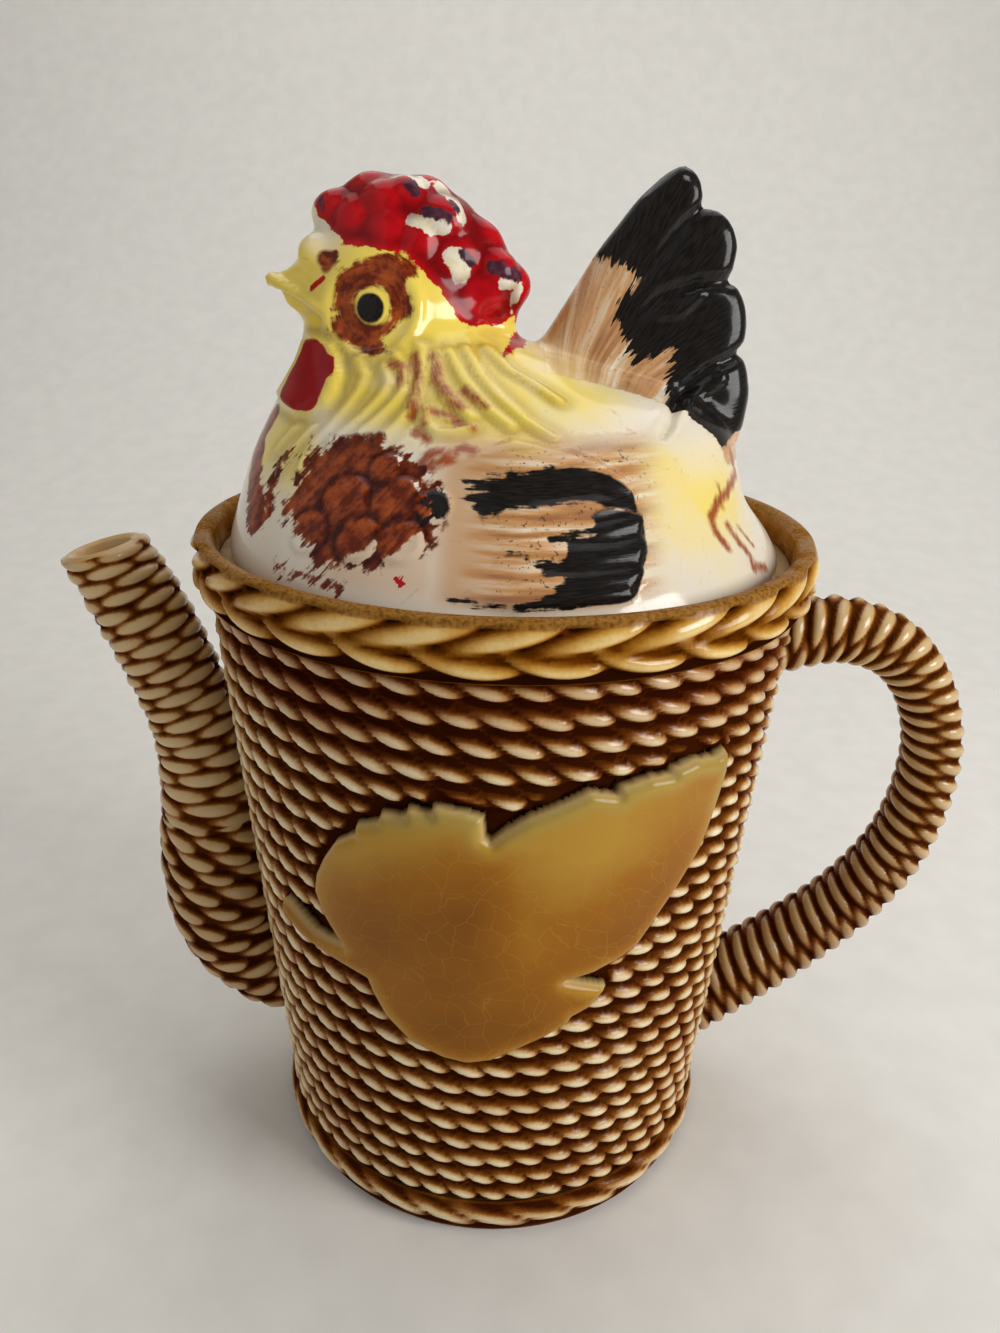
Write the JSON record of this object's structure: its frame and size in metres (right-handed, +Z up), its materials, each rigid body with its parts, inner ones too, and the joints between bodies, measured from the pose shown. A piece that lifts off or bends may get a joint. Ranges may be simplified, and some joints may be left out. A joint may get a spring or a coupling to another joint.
{
  "type": "hen coffee pot",
  "caption": "Rope-moulded earthenware coffee pot with a slim spout, twisted handle and leaf plaque; a hollow sitting hen lifts off as its lid.",
  "frame": {"origin": "centre of the pot's foot, on the table", "axes": "+Z up, +X towards the handle (the spout is on -X), the leaf plaque on -Y"},
  "size_m": [0.2053, 0.1291, 0.2185],
  "materials": {
    "rope_glaze": "gloss",
    "amber_glaze": "gloss",
    "leaf_glaze": "gloss",
    "hen_glaze": "gloss",
    "red_paint": "gloss",
    "black_paint": "gloss",
    "wing_paint": "gloss"
  },
  "bodies": {
    "pot": {"pot_body": "rope_glaze", "rim_rope": "amber_glaze", "foot_rope": "rope_glaze", "spout": "rope_glaze", "handle": "rope_glaze", "leaf_plaque": "leaf_glaze"},
    "lid": {"hen_body": "hen_glaze", "lid_flange": "hen_glaze", "comb": "red_paint", "tail_fan": "black_paint", "right_wing": "wing_paint", "left_wing": "wing_paint", "right_wattle": "red_paint", "left_wattle": "red_paint", "right_eye": "black_paint", "left_eye": "black_paint"}
  },
  "joints": [
    {"name": "lid_lift", "type": "slide", "parent": "pot", "child": "lid", "axis": [0, 0, 1], "range_m": [0, 0.12]}
  ]
}
